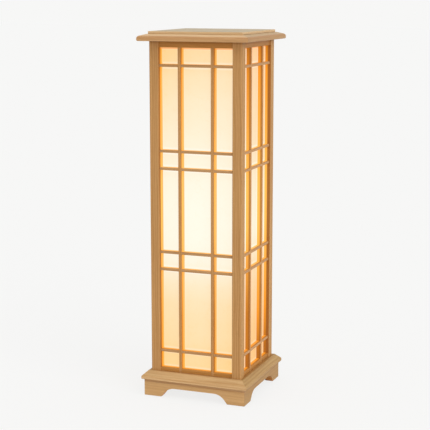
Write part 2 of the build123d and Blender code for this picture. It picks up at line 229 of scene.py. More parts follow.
def woodFigureGroup():
    # rings round a pith that lies off the member, fibres and pores drawn out along the grain
    inputs = [
        ("Grain Vector", "NodeSocketVector", None),  # millimetres, x along the grain
        ("Light Wood", "NodeSocketColor", (0.6, 0.32, 0.13, 1)),
        ("Dark Wood", "NodeSocketColor", (0.4, 0.2, 0.07, 1)),
        ("Ring Width", "NodeSocketFloat", 4.5),
        ("Ring Strength", "NodeSocketFloat", 0.30),
        ("Streak Strength", "NodeSocketFloat", 0.5),
        ("Pore Strength", "NodeSocketFloat", 0.4),
        ("Polish", "NodeSocketFloat", 0.36),  # roughness between the pores
    ]
    outputs = [("Colour", "NodeSocketColor"), ("Shade", "NodeSocketFloat"), ("Roughness", "NodeSocketFloat"),
               ("Height", "NodeSocketFloat")]
    tree, take, give = makeGroup("woodFigure", inputs, outputs)
    grain = take["Grain Vector"]
    axes = split(tree, grain)

    def drawnOut(pattern, detail, roughness=0.5):
        lengthwise, crosswise = oakFigure[pattern]
        return noise(tree, stretch(tree, grain, lengthwise, crosswise, crosswise), 1.0, detail, roughness)

    across = calc(tree, "ADD", calc(tree, "POWER", axes[1], 2.0), calc(tree, "POWER", axes[2], 2.0))
    radius = calc(tree, "SQRT", across)
    for pattern in ("wander", "ripple"):
        drift = calc(tree, "MULTIPLY", drawnOut(pattern, 2.0), oakFigure[pattern + "Depth"])
        radius = calc(tree, "ADD", radius, drift)
    phase = calc(tree, "FRACT", calc(tree, "DIVIDE", radius, take["Ring Width"]))
    rise = remap(tree, phase, *oakFigure["ringRise"], smooth=True)
    fall = remap(tree, phase, *oakFigure["ringFall"], smooth=True)
    ring = calc(tree, "MULTIPLY", calc(tree, "MULTIPLY", rise, fall), take["Ring Strength"])
    streak = remap(tree, drawnOut("streak", 3.0, 0.6), *noiseSpan)
    streak = calc(tree, "MULTIPLY", streak, take["Streak Strength"])
    fibre = drawnOut("fibre", 2.0, 0.6)
    fibreShade = calc(tree, "MULTIPLY", remap(tree, fibre, *noiseSpan), oakFigure["fibreDepth"])
    pore = remap(tree, drawnOut("pore", 1.0), *oakFigure["poreFrom"], smooth=True)
    early = remap(tree, phase, *oakFigure["earlyWood"])
    pore = calc(tree, "MULTIPLY", calc(tree, "MULTIPLY", pore, early), take["Pore Strength"])
    shade = calc(tree, "ADD", calc(tree, "ADD", ring, streak), fibreShade)
    shade = calc(tree, "ADD", shade, pore, clamp=True)
    colour = blendColour(tree, shade, take["Light Wood"], take["Dark Wood"])
    rough = calc(tree, "ADD", calc(tree, "MULTIPLY", fibre, oakFigure["fibreRough"]),
                 calc(tree, "MULTIPLY", pore, oakFigure["poreRough"]))
    plugIn(tree, give, {
        "Colour": colour,
        "Shade": shade,
        "Roughness": calc(tree, "ADD", rough, take["Polish"], clamp=True),
        "Height": calc(tree, "SUBTRACT", calc(tree, "MULTIPLY", fibre, oakFigure["fibreLift"]), pore),
    })
    return tree


# painted light through the paper on the wood beside it, given as the wood's emission: linear colours,
# depths in millimetres, levels in metres; a share goes over the heights in its first two values from its
# third to its fourth
spill = {
    "middle": (0.95, 0.50, 0.090, 1.0),
    "ends": (0.76, 0.275, 0.015, 1.0),
    "rise": (0.20, 0.42, 0.0, 1.0),
    "fall": (0.52, 0.80, 1.0, 0.0),
    "topFade": (0.80, 0.88, 1.0, 0.50),
    "footFade": (0.09, 0.20, 0.33, 1.0),  # on sides that look to the front or back
    "outerFoot": (0.21, 0.42, 0.47, 1.0),  # on the sides of the uprights that face the posts
    "outerTop": (0.62, 0.85, 1.0, 0.68),
    "paperFace": 103.0,
    "start": (-0.8, -0.1),  # depths between which it comes up, just behind that face
    "lowest": 0.0730,
    "highest": 0.8622,
    "outwardFrom": 0.02,  # place times facing: a face above it looks away from the lantern's axis
    "endOnFrom": 0.5,
}


def paperSpillGroup():
    # painted glow on faces that stand beside the paper: full up to one depth in front of it, weak at the
    # next, none from the last on; it also gives the zone where painted shade goes into the wood's colour
    inputs = [
        ("Place", "NodeSocketVector", None),  # object coordinates, metres
        ("Full Depth", "NodeSocketFloat", 5.5),
        ("Weak Depth", "NodeSocketFloat", 11.4),
        ("Weak Share", "NodeSocketFloat", 0.22),
        ("Last Depth", "NodeSocketFloat", 11.6),
    ]
    outputs = [("Colour", "NodeSocketColor"), ("Glow Zone", "NodeSocketFloat"), ("Nearness", "NodeSocketFloat")]
    tree, take, give = makeGroup("paperSpill", inputs, outputs)
    axes = split(tree, take["Place"])
    out = calc(tree, "MULTIPLY", farther(tree, axes[0], axes[1]), 1000.0)
    depth = calc(tree, "SUBTRACT", out, spill["paperFace"])
    besidePaper = remap(tree, depth, *spill["start"])
    besidePaper = calc(tree, "MULTIPLY", besidePaper, calc(tree, "LESS_THAN", depth, take["Last Depth"]))
    besidePaper = calc(tree, "MULTIPLY", besidePaper, calc(tree, "GREATER_THAN", axes[2], spill["lowest"]))
    besidePaper = calc(tree, "MULTIPLY", besidePaper, calc(tree, "LESS_THAN", axes[2], spill["highest"]))
    shares = {name: remap(tree, axes[2], *spill[name])
              for name in ("rise", "fall", "topFade", "footFade", "outerFoot", "outerTop")}
    facing = faceNormal(tree)
    outward = calc(tree, "ADD", *[calc(tree, "MULTIPLY", axes[axis], facing[axis]) for axis in (0, 1)])
    inner = calc(tree, "SUBTRACT", 1.0, calc(tree, "GREATER_THAN", outward, spill["outwardFrom"]))
    endOn = calc(tree, "GREATER_THAN", calc(tree, "ABSOLUTE", facing[1]), spill["endOnFrom"])
    outerShare = calc(tree, "MULTIPLY", shares["outerFoot"], shares["outerTop"])
    outerShare = calc(tree, "MAXIMUM", outerShare, inner)
    endShare = calc(tree, "MAXIMUM", shares["footFade"], calc(tree, "SUBTRACT", 1.0, endOn))
    kept = calc(tree, "MULTIPLY", calc(tree, "MINIMUM", outerShare, endShare), shares["topFade"])
    near = remap(tree, depth, take["Full Depth"], take["Weak Depth"], 1.0, 0.0, smooth=True)
    level = calc(tree, "MAXIMUM", near, take["Weak Share"])
    level = calc(tree, "MULTIPLY", calc(tree, "MULTIPLY", level, besidePaper), kept)
    midShare = calc(tree, "MULTIPLY", shares["rise"], shares["fall"])
    colour = blendColour(tree, midShare, spill["ends"], spill["middle"])
    plugIn(tree, give, {
        "Colour": blendColour(tree, 1.0, colour, joinAxes(tree, level, level, level), "MULTIPLY"),
        "Glow Zone": besidePaper,
        "Nearness": near,
    })
    return tree


def mitreLineGroup():
    # thin dark glue line where two lengths meet on the diagonals of the square
    inputs = [("Place", "NodeSocketVector", None), ("Line Width", "NodeSocketFloat", 0.25)]
    tree, take, give = makeGroup("mitreLine", inputs, [("Mask", "NodeSocketFloat")])
    axes = split(tree, take["Place"])
    gap = calc(tree, "SUBTRACT", calc(tree, "ABSOLUTE", axes[0]), calc(tree, "ABSOLUTE", axes[1]))
    gap = calc(tree, "MULTIPLY", calc(tree, "ABSOLUTE", gap), 1000.0)
    mask = remap(tree, gap, 0.0, take["Line Width"], 1.0, 0.0)
    tree.links.new(mask, give.inputs["Mask"])
    return tree


woodFigure = woodFigureGroup()
paperSpill = paperSpillGroup()
mitreLine = mitreLineGroup()

# how each kind of member was cut: light and dark tones, place of the pith off the axis, and the width of the
# rings. Then, where a kind has them: tones of the faces that look up, painted light and shade on the cap and
# base, their paler painted sheen at a low slant, the painted shade on the corner under them, painted shade of
# the right and left lengths, painted warmth of outer sides, the end grain's tone with painted warmth of
# shaded cheeks, mitred ends, the painted glow beside the paper, and the painted shades under the cap, in the
# cove and beside the body. A shade goes from its first place to its second, in metres, from its third value
# to its fourth.
# depths and shares of the painted glow beside the paper, on bars and on posts
barGlow = {"Full Depth": 4.5, "Weak Depth": 10.5, "Weak Share": 0.15, "Last Depth": 11.6}
postGlow = {"Full Depth": 4.5, "Weak Depth": 8.5, "Weak Share": 0.0, "Last Depth": 14.4}
woodCuts = {
    # posts: painted warmth on the sides that look right and left, and painted shadow under the cap
    "post": dict(
        light=(208, 160, 104), dark=(166, 116, 63), pith=(310, 37), rings=5.5, glow=postGlow,
        paintedSideWarmth=(0.98, 0.98, 0.90), capShade=(0.870, 0.8755, 0.0, 0.32)),
    "upright": dict(light=(208, 158, 103), dark=(170, 119, 65), pith=(-240, 75), rings=4.0, glow=barGlow),
    "crossbar": dict(light=(205, 160, 110), dark=(166, 119, 74), pith=(52, -330), rings=4.2, glow=barGlow),
    # rails: painted shadow under the cap
    "rail": dict(
        light=(200, 143, 76), dark=(158, 102, 41), pith=(-140, 90), rings=5.0, ringDepth=0.15, glow=barGlow,
        capShade=(0.870, 0.8755, 0.0, 0.30)),
    # base: painted light and shade on the faces that look up and on the right and left lengths; painted shade
    # in the cove and beside the body
    "base": dict(
        light=(229, 194, 145), dark=(185, 137, 84), pith=(60, -260), rings=6.0, ringDepth=0.2, streaks=0.62,
        top=((199, 166, 117), (166, 127, 78)), paintedSideShade=(0.76, 0.74, 0.63), mitred=True,
        coveShade=(0.037, 0.0437, 0.40, 0.20), jointShade=(0.118, 0.1235, 0.6, 0.0)),
    # apron: painted shade on the right and left lengths; end grain warmer, partly painted warmth of the
    # shaded cheeks
    "apron": dict(
        light=(216, 175, 122), dark=(184, 138, 86), pith=(-20, -90), rings=5.0, ringDepth=0.22, mitred=True,
        paintedSideShade=(0.74, 0.71, 0.61), endGrainAndShadeTone=(1.3, 0.90, 0.44)),
    # cap: painted sheen on the faces that look up, painted shade on the corner below them and on the right
    # and left lengths
    "cap": dict(
        light=(214, 170, 118), dark=(178, 128, 78), pith=(40, 700), rings=6.5, sheen=0.3, mitred=True,
        top=((222, 188, 143), (192, 156, 111)), topFrom=(0.84, 0.95), cornerShade=0.35,
        paintedSideShade=(0.78, 0.76, 0.66), paintedTopSideShade=(0.69, 0.67, 0.58)),
    # cap panel: its top has tones of its own, with a paler painted sheen at a low slant
    "capPanel": dict(
        light=(226, 194, 148), dark=(198, 160, 112), pith=(-30, 640), rings=7.0, polish=0.45, sheen=0.4,
        top=((218, 181, 130), (185, 143, 94)), paintedSheen=((187, 170, 138), (157, 139, 108))),
    "inner": dict(light=(214, 176, 128), dark=(178, 134, 88), pith=(55, 40), rings=5.0, polish=0.5),
}
plainCut = dict(ringDepth=0.3, streaks=0.5, polish=0.36, sheen=0.12, topFrom=(0.5, 0.92))  # unless it says
# painted shade: darker, warmer wood on the sides beside the paper, under their painted glow
paintedShadeBesidePaper = {"near": srgb(124, 66, 18), "far": srgb(156, 102, 45), "share": 0.85}
# colours of the painted shade under the cap, on the corner, in the cove and beside the body, and of the glue
# line in mitres
paintedShadeAndGlueTones = {"cap": srgb(84, 44, 14), "corner": srgb(150, 98, 52), "cove": srgb(128, 68, 24),
              "joint": srgb(160, 104, 46), "mitre": srgb(92, 58, 30)}
# how far a face is turned where an effect starts and where it is full; the corner's shade ends again
facingSpans = {
    "paintedSheen": (0.45, 0.88),
    "cornerStart": (0.1, 0.4),
    "cornerEnd": (0.86, 0.95, 1.0, 0.0),
    "outer": (0.6, 0.9),
    "endGrain": (0.4, 0.8),
}
woodSurface = {"mitreShare": 0.6, "relief": 0.25, "reliefDepth": 0.0002}
grainOrder = {"x": (0, 1, 2), "y": (1, 2, 0), "z": (2, 0, 1)}


def woodTones(cut, grain):
    # pairs of light and dark tones: plain, of faces that look up, and of their painted sheen
    # the right and left lengths, which run along y, are darkened by painted shade of their own
    plain = (1.0, 1.0, 1.0)
    paintedSideShade = cut.get("paintedSideShade", plain) if grain == "y" else plain
    topSideShade = cut.get("paintedTopSideShade", paintedSideShade) if grain == "y" else plain
    pairs = [(cut["light"], cut["dark"]), cut.get("top"), cut.get("paintedSheen")]
    return [[[a * b for a, b in zip(srgb(*colour), (*tone, 1.0))] for colour in pair]
            for pair, tone in zip(pairs, (paintedSideShade, topSideShade, topSideShade)) if pair]


def grainVector(tree, place, grain, pith):
    # millimetres, the grain along x and the pith at the origin
    axes = split(tree, place)
    if grain == "round":
        # lengths round a square: those on the right and left run along y
        sideways = calc(tree, "GREATER_THAN", *[calc(tree, "ABSOLUTE", axes[axis]) for axis in (0, 1)])
        plugs = {"Factor": sideways, 4: place, 5: joinAxes(tree, axes[1], axes[2], axes[0])}
        turned = addNode(tree, "ShaderNodeMix", plugs, data_type="VECTOR").outputs[1]
    else:
        turned = joinAxes(tree, *[axes[axis] for axis in grainOrder[grain]])
    plugs = {"Vector": turned, "Scale": (1000, 1000, 1000), "Location": (0, -pith[0], -pith[1])}
    return addNode(tree, "ShaderNodeMapping", plugs).outputs[0]


def toppedColour(tree, cut, colour, shade, topPair, paintedSheenPair=None):
    # other tones where a face looks up, painted light and shade on the cap and base; a painted sheen at a
    # low slant; and a painted shade on the rounded corner below them
    upwardness = faceNormal(tree)[2]
    upward = remap(tree, upwardness, *cut["topFrom"], smooth=True)
    topColour = blendColour(tree, shade, *topPair)
    # painted sheen: paler tones where the top is seen at a low slant
    if paintedSheenPair:
        slant = addNode(tree, "ShaderNodeLayerWeight", {"Blend": 0.5}).outputs["Facing"]
        paintedSheenColour = blendColour(tree, shade, *paintedSheenPair)
        paintedSheenShare = remap(tree, slant, *facingSpans["paintedSheen"], smooth=True)
        topColour = blendColour(tree, paintedSheenShare, topColour, paintedSheenColour)
    colour = blendColour(tree, upward, colour, topColour)
    if "cornerShade" in cut:
        turning = [remap(tree, upwardness, *facingSpans[end]) for end in ("cornerStart", "cornerEnd")]
        turning = calc(tree, "MULTIPLY", calc(tree, "MULTIPLY", *turning), cut["cornerShade"])
        colour = blendColour(tree, turning, colour, paintedShadeAndGlueTones["corner"])
    return colour


def shadedColour(tree, cut, colour, place, grain):
    # painted warmth of outer sides, the end grain's tone with painted warmth of shaded cheeks, and painted
    # shade in the corners: under the cap, in the cove and beside the body
    axes, facing = split(tree, place), faceNormal(tree)
    # painted warmth on the faces that look right and left
    if "paintedSideWarmth" in cut:
        sideways = remap(tree, calc(tree, "ABSOLUTE", facing[0]), *facingSpans["outer"])
        colour = blendColour(tree, sideways, colour, (*cut["paintedSideWarmth"], 1.0), "MULTIPLY")
    # painted shadow under the cap, and painted shade in the cove and beside the body
    if "capShade" in cut:
        colour = blendColour(tree, remap(tree, axes[2], *cut["capShade"]), colour, paintedShadeAndGlueTones["cap"])
    if "coveShade" in cut:
        inCove = calc(tree, "LESS_THAN", axes[2], cut["coveShade"][1])
        inCove = calc(tree, "MULTIPLY", remap(tree, axes[2], *cut["coveShade"]), inCove)
        colour = blendColour(tree, inCove, colour, paintedShadeAndGlueTones["cove"])
    if "jointShade" in cut:
        beside = remap(tree, farther(tree, axes[0], axes[1]), *cut["jointShade"])
        colour = blendColour(tree, beside, colour, paintedShadeAndGlueTones["joint"])
    # the end grain's warmer tone, partly painted warmth of the shaded arch cheeks
    if "endGrainAndShadeTone" in cut:
        endOn = calc(tree, "ABSOLUTE", facing["xyz".index(grain)])
        endOn = remap(tree, endOn, *facingSpans["endGrain"])
        colour = blendColour(tree, endOn, colour, (*cut["endGrainAndShadeTone"], 1.0), "MULTIPLY")
    return colour


def woodMaterial(kind, grain):
    cut = {**plainCut, **woodCuts[kind]}
    material, tree, shader = makeMaterial("wood" + kind[0].upper() + kind[1:] + grain.upper())
    place = objectPlace(tree)
    plainPair, *otherPairs = woodTones(cut, grain)
    figure = useGroup(tree, woodFigure, {
        "Grain Vector": grainVector(tree, place, grain, cut["pith"]),
        "Light Wood": plainPair[0],
        "Dark Wood": plainPair[1],
        "Ring Width": cut["rings"],
        "Ring Strength": cut["ringDepth"],
        "Streak Strength": cut["streaks"],
        "Polish": cut["polish"],
    })
    colour, height = figure["Colour"], figure["Height"]
    if otherPairs:
        colour = toppedColour(tree, cut, colour, figure["Shade"], *otherPairs)
    colour = shadedColour(tree, cut, colour, place, grain)
    if "mitred" in cut:
        line = useGroup(tree, mitreLine, {"Place": place})["Mask"]
        lineShare = calc(tree, "MULTIPLY", line, woodSurface["mitreShare"])
        colour = blendColour(tree, lineShare, colour, paintedShadeAndGlueTones["mitre"])
        height = calc(tree, "SUBTRACT", height, line)
    # painted glow beside the paper as emission, over painted shade in the base colour
    if "glow" in cut:
        glow = useGroup(tree, paperSpill, {"Place": place, **cut["glow"]})
        besidePaper = blendColour(tree, glow["Nearness"], paintedShadeBesidePaper["far"], paintedShadeBesidePaper["near"])
        paintedShadeShare = calc(tree, "MULTIPLY", glow["Glow Zone"], paintedShadeBesidePaper["share"])
        colour = blendColour(tree, paintedShadeShare, colour, besidePaper)
        plugIn(tree, shader, {"Emission Color": glow["Colour"], "Emission Strength": 1.0})
    plugIn(tree, shader, {
        "Base Color": colour,
        "Roughness": figure["Roughness"],
        "Normal": relief(tree, height, woodSurface["relief"], woodSurface["reliefDepth"]),
        "Specular IOR Level": cut["sheen"],
    })
    return material


postWood = woodMaterial("post", "z")
uprightWood = woodMaterial("upright", "z")
innerWood = woodMaterial("inner", "z")
cleatWood = woodMaterial("inner", "round")
for corner in corners:
    assign("post_" + corner, postWood)
for grain, sides in {"x": ("front", "back"), "y": ("right", "left")}.items():
    lengths = {kind: woodMaterial(kind, grain) for kind in ("crossbar", "rail", "base", "apron", "cap")}
    for face in sides:
        assign("lattice_uprights_" + face, uprightWood)
        assign("lattice_crossbars_" + face, lengths["crossbar"])
        assign("top_rail_" + face, lengths["rail"])
        assign("bottom_rail_" + face, lengths["rail"])
        assign("base_moulding_" + face, lengths["base"])
        assign("cap_moulding_" + face, lengths["cap"])
        easedPiece("foot_apron_" + face, lengths["apron"], easing["apron"])
easedPiece("cap_panel", woodMaterial("capPanel", "x"), easing["capPanel"])
assign("corner_beads", innerWood)
assign("corner_blocks", innerWood)
assign("cap_cleats", cleatWood)
print("wood finished:", len([m for m in bpy.data.materials if m.name.startswith("wood")]), "cuts")


# Paper, its light from the bulb behind it painted in as glow

paper = {
    "pale": (1.0, 0.949, 0.802, 1.0),
    "sheet": (0.14, 0.13, 0.11, 1.0),
    "shine": 0.90,
    "roughness": 0.6, "gloss": 0.2,
    "relief": 0.2, "reliefDepth": 0.0001,
    "cloudiness": 0.10,
    "fibreWarmth": 0.08,
    "marginShare": -0.25,  # painted light: paler in the margin beside the bars
    "edge": (1.0, 0.43, 0.0, 1.0),  # right beside a bar, seen straight on: light off its side
    "edgeShare": 0.92,
    "behindShare": 0.18,  # painted shade: warmer, seen from inside, where a bar stands behind the sheet
    "lean": 0.9,  # rise of the warm share per metre across a face
    "bow": 10.0,  # its rise per square metre towards both sides of the front and back sheets
    "leanFrom": (0.45, 0.80, 0.0, 1.0),  # the front and back sheets lean above these heights only
    "slantFrom": (0.12, 0.60),  # one less the cosine of the viewing angle: none yet, and all
    "glued": (1.0, 0.38, 0.09, 1.0),  # painted glow on the paper up to the top rail, standing for the rail's lit underside
    "paintedRailGlowFrom": (0.8575, 0.8585, 0.0, 0.85),
}
# warmest colour, and stops of height above the floor in metres and its share, seen straight on and at a slant
paperGlow = {
    "straight": dict(amber=(1.0, 0.628, 0.212, 1.0), stops=(
        (0.066, 0.87), (0.135, 0.75), (0.246, 0.60), (0.295, 0.37), (0.344, 0.08), (0.44, 0.0), (0.54, 0.07),
        (0.64, 0.24), (0.74, 0.455), (0.81, 0.64), (0.871, 0.79))),
    "slant": dict(amber=(1.0, 0.513, 0.168, 1.0), stops=(
        (0.066, 1.0), (0.16, 0.98), (0.21, 0.87), (0.284, 0.74), (0.334, 0.56), (0.384, 0.30), (0.44, 0.26),
        (0.533, 0.39), (0.633, 0.56), (0.757, 0.70), (0.832, 0.76), (0.871, 0.86))),
}
# long fibres in three directions: scales per metre across and up the sheet; each direction's noise is read
# one step further on, so that no two are alike
paperFibres = {
    "scales": ((55.0, 21.0), (24.0, 60.0), (41.0, 38.0)),
    "start": (0.0, 3.7, 0.0), "step": (7.1, 0.0, 5.3),
    "warp": 1.4,
    "brokenScale": 60.0, "brokenFrom": (0.45, 0.6),
    "cloudScale": 22.0,
}
# the lattice in front of the sheets, in millimetres: where posts and rails begin, bar middles, half widths,
# the width of the margin beside them, and where the edge bands start to fade and end
latticePlan = {
    "side": 94.0, "bottom": 73.5, "top": 862.0,
    "upright": 42.0, "uprightHalf": 3.65,
    "levels": (116.5, 322.2, 364.9, 570.6, 613.3, 819.0), "crossbarHalf": 3.25,
    "margin": 6.8, "marginFade": 0.55,
    "behindFrom": (-1.0, 0.5, 1.0, 0.0),
    "uprightEdge": (3.0, 4.4, 1.0, 0.0), "crossbarEdge": (0.2, 0.9, 1.0, 0.0),
}


def paperFibreGroup():
    # curved fibres: thin ridges where a stretched, warped noise crosses its middle value
    inputs = [("Place", "NodeSocketVector", None), ("Fibre Width", "NodeSocketFloat", 0.018)]
    outputs = [("Fibres", "NodeSocketFloat"), ("Cloud", "NodeSocketFloat")]
    tree, take, give = makeGroup("paperFibre", inputs, outputs)
    place = take["Place"]
    total = None
    for turn, (across, up) in enumerate(paperFibres["scales"]):
        shift = [start + turn * step for start, step in zip(paperFibres["start"], paperFibres["step"])]
        plugs = {0: stretch(tree, place, across, across, up), 1: shift}
        shifted = addNode(tree, "ShaderNodeVectorMath", plugs).outputs[0]
        field = noise(tree, shifted, 1.0, 1.0, 0.4, paperFibres["warp"])
        ridge = calc(tree, "ABSOLUTE", calc(tree, "SUBTRACT", field, 0.5))
        ridge = remap(tree, ridge, 0.0, take["Fibre Width"], 1.0, 0.0)
        total = ridge if total is None else calc(tree, "MAXIMUM", total, ridge)
    broken = remap(tree, noise(tree, place, paperFibres["brokenScale"], 2.0), *paperFibres["brokenFrom"])
    plugIn(tree, give, {
        "Fibres": calc(tree, "MULTIPLY", total, broken),
        "Cloud": noise(tree, place, paperFibres["cloudScale"], 4.0, 0.6),
    })
    return tree


def barMarginGroup():
    # where the paper lies, 0 to 1: beside a bar, post or rail, 0 from the margin on; behind one; and on the
    # edge, a narrower band beside one, wide along uprights and posts and thin along the rest
    outputs = [("Beside", "NodeSocketFloat"), ("Behind", "NodeSocketFloat"), ("Edge", "NodeSocketFloat")]
    tree, take, give = makeGroup("barMargin", [("Place", "NodeSocketVector", None)], outputs)
    axes = split(tree, stretch(tree, take["Place"], 1000, 1000, 1000))
    sideways = calc(tree, "MINIMUM", calc(tree, "ABSOLUTE", axes[0]), calc(tree, "ABSOLUTE", axes[1]))
    nearest = calc(tree, "SUBTRACT", latticePlan["side"], sideways)
    near = calc(tree, "ABSOLUTE", calc(tree, "SUBTRACT", sideways, latticePlan["upright"]))
    fromUpright = calc(tree, "MINIMUM", nearest, calc(tree, "SUBTRACT", near, latticePlan["uprightHalf"]))
    nearest = calc(tree, "MINIMUM", fromUpright, calc(tree, "SUBTRACT", axes[2], latticePlan["bottom"]))
    nearest = calc(tree, "MINIMUM", nearest, calc(tree, "SUBTRACT", latticePlan["top"], axes[2]))
    for level in latticePlan["levels"]:
        near = calc(tree, "ABSOLUTE", calc(tree, "SUBTRACT", axes[2], level))
        nearest = calc(tree, "MINIMUM", nearest, calc(tree, "SUBTRACT", near, latticePlan["crossbarHalf"]))
    behind = remap(tree, nearest, *latticePlan["behindFrom"], smooth=True)
    last = latticePlan["margin"]
    beside = remap(tree, nearest, last * latticePlan["marginFade"], last, 1.0, 0.0, smooth=True)
    edge = calc(tree, "MAXIMUM", remap(tree, fromUpright, *latticePlan["uprightEdge"]),
                remap(tree, nearest, *latticePlan["crossbarEdge"]))
    plugIn(tree, give, {
        "Beside": calc(tree, "SUBTRACT", beside, behind, clamp=True),
        "Behind": behind,
        "Edge": calc(tree, "SUBTRACT", edge, behind, clamp=True),
    })
    return tree


paperFibre = paperFibreGroup()
barMargin = barMarginGroup()


def heightShare(tree, height, stops):
    # a smooth curve through shares at heights, as a colour ramp of greys
    low, high = stops[0][0], stops[-1][0]
    ramp = addNode(tree, "ShaderNodeValToRGB", {0: remap(tree, height, low, high)})
    elements = ramp.color_ramp.elements
    elements.remove(elements[1])
    ramp.color_ramp.interpolation = "CARDINAL"
    for number, (level, share) in enumerate(stops):
        stop = elements[0] if number == 0 else elements.new((level - low) / (high - low))
        stop.position = (level - low) / (high - low)
        stop.color = (share, share, share, 1)
    return ramp.outputs[0]


def paperMaterial(name, across, bowed):
    # painted glow, as if lit from behind; light that leaves at a slant has gone through more paper and is
    # warmer
    # the warm share rises across a face, on the front and back sheets also towards both sides
    material, tree, shader = makeMaterial(name)
    place = objectPlace(tree)
    axes = split(tree, place)
    sheet = useGroup(tree, paperFibre, {"Place": place})
    extra = calc(tree, "MULTIPLY", calc(tree, "SUBTRACT", sheet["Cloud"], 0.5), paper["cloudiness"])
    extra = calc(tree, "ADD", extra, calc(tree, "MULTIPLY", sheet["Fibres"], paper["fibreWarmth"]))
    rise = calc(tree, "MULTIPLY", axes[across], paper["lean"])
    if bowed:
        leaning = remap(tree, axes[2], *paper["leanFrom"])
        rise = calc(tree, "MULTIPLY", calc(tree, "MULTIPLY", rise, leaning), -1.0)
        bow = calc(tree, "MULTIPLY", calc(tree, "POWER", axes[across], 2.0), paper["bow"])
        rise = calc(tree, "ADD", rise, bow)
    extra = calc(tree, "ADD", extra, rise)
    margin = useGroup(tree, barMargin, {"Place": place})
    # painted light paler in the margin beside the bars, and painted shade warmer where a bar stands behind
    extra = calc(tree, "ADD", extra, calc(tree, "MULTIPLY", margin["Beside"], paper["marginShare"]))
    extra = calc(tree, "ADD", extra, calc(tree, "MULTIPLY", margin["Behind"], paper["behindShare"]))
    colours = {}
    for view, glow in paperGlow.items():
        share = calc(tree, "ADD", heightShare(tree, axes[2], glow["stops"]), extra, clamp=True)
        colours[view] = blendColour(tree, share, paper["pale"], glow["amber"])
    slant = addNode(tree, "ShaderNodeLayerWeight", {"Blend": 0.5}).outputs["Facing"]
    slant = remap(tree, slant, *paper["slantFrom"], smooth=True)
    lit = blendColour(tree, slant, colours["straight"], colours["slant"])
    edge = calc(tree, "MULTIPLY", margin["Edge"], calc(tree, "SUBTRACT", 1.0, slant))
    lit = blendColour(tree, calc(tree, "MULTIPLY", edge, paper["edgeShare"]), lit, paper["edge"])
    # painted glow just under the top rail, standing for its lit underside
    lit = blendColour(tree, remap(tree, axes[2], *paper["paintedRailGlowFrom"]), lit, paper["glued"])
    plugIn(tree, shader, {
        "Base Color": paper["sheet"],
        "Roughness": paper["roughness"],
        "Specular IOR Level": paper["gloss"],
        "Normal": relief(tree, sheet["Fibres"], paper["relief"], paper["reliefDepth"]),
        "Emission Color": lit,
        "Emission Strength": paper["shine"],
    })
    return material


paperFront = paperMaterial("paperFront", across=0, bowed=True)
paperSide = paperMaterial("paperSide", across=1, bowed=False)
for face in faces:
    assign("paper_panel_" + face, paperFront if face in ("front", "back") else paperSide)
print("paper finished")


# Finishes for what is inside

mottled = {"tones": (0.35, 0.65), "glossSwing": 0.25, "bumpDepth": 0.0003, "rimFrom": (0.15, 1.0)}


def speckledMaterial(name, light, dark, roughness, scale, metallic=0.0, glow=0.0, rim=None, bump=0.0):
    # two close tones mixed by a fine noise, which also moves the gloss; a lit one is warmer towards its rim
    material, tree, shader = makeMaterial(name)
    mottle = noise(tree, objectPlace(tree), scale, 4.0, 0.6)
    swing = mottled["glossSwing"]
    plugs = {
        "Base Color": blendColour(tree, remap(tree, mottle, *mottled["tones"]), srgb(*light), srgb(*dark)),
        "Roughness": remap(tree, mottle, *noiseSpan, roughness * (1 - swing), roughness * (1 + swing)),
        "Metallic": metallic,
    }
    if bump:
        plugs["Normal"] = relief(tree, mottle, bump, mottled["bumpDepth"])
    if glow:
        slant = addNode(tree, "ShaderNodeLayerWeight", {"Blend": 0.5}).outputs["Facing"]
        lit = blendColour(tree, mottle, srgb(*light), srgb(*dark))
        rimShare = remap(tree, slant, *mottled["rimFrom"])
        plugs["Emission Color"] = blendColour(tree, rimShare, lit, srgb(*rim))
        plugs["Emission Strength"] = glow
    plugIn(tree, shader, plugs)
    return material


plies = {
    "bottom": 27.0,  # millimetres above the floor
    "thickness": 1.2857,
    "faceVeneer": srgb(214, 182, 138),
    "crossVeneer": srgb(178, 138, 96),
    "crossShare": 0.7,
    "streaks": (12.0, 260.0, 260.0),  # scales per metre, the first along the grain
    "streakShares": (0.35, 0.75, 0.0, 0.3),
    "roughness": (0.5, 0.7),
    "relief": 0.2, "reliefDepth": 0.0002,
}


def plywoodMaterial():
    # plies by height: every other one shows end grain on the board's edges, and the faces show long grain
    material, tree, shader = makeMaterial("plywood")
    place = objectPlace(tree)
    height = calc(tree, "MULTIPLY", split(tree, place)[2], 1000.0)
    height = calc(tree, "SUBTRACT", height, plies["bottom"])
    # a hundredth of a millimetre keeps the bottom face out of the ply below it
    step = calc(tree, "DIVIDE", calc(tree, "ADD", height, 0.01), 2 * plies["thickness"])
    crossPly = calc(tree, "GREATER_THAN", calc(tree, "FRACT", step), 0.5)
    streak = noise(tree, stretch(tree, place, *plies["streaks"]), 1.0, 4.0, 0.6)
    tone = calc(tree, "ADD", calc(tree, "MULTIPLY", crossPly, plies["crossShare"]),
                remap(tree, streak, *plies["streakShares"]))
    plugIn(tree, shader, {
        "Base Color": blendColour(tree, tone, plies["faceVeneer"], plies["crossVeneer"]),
        "Roughness": remap(tree, streak, *noiseSpan, *plies["roughness"]),
        "Normal": relief(tree, streak, plies["relief"], plies["reliefDepth"]),
    })
    return material


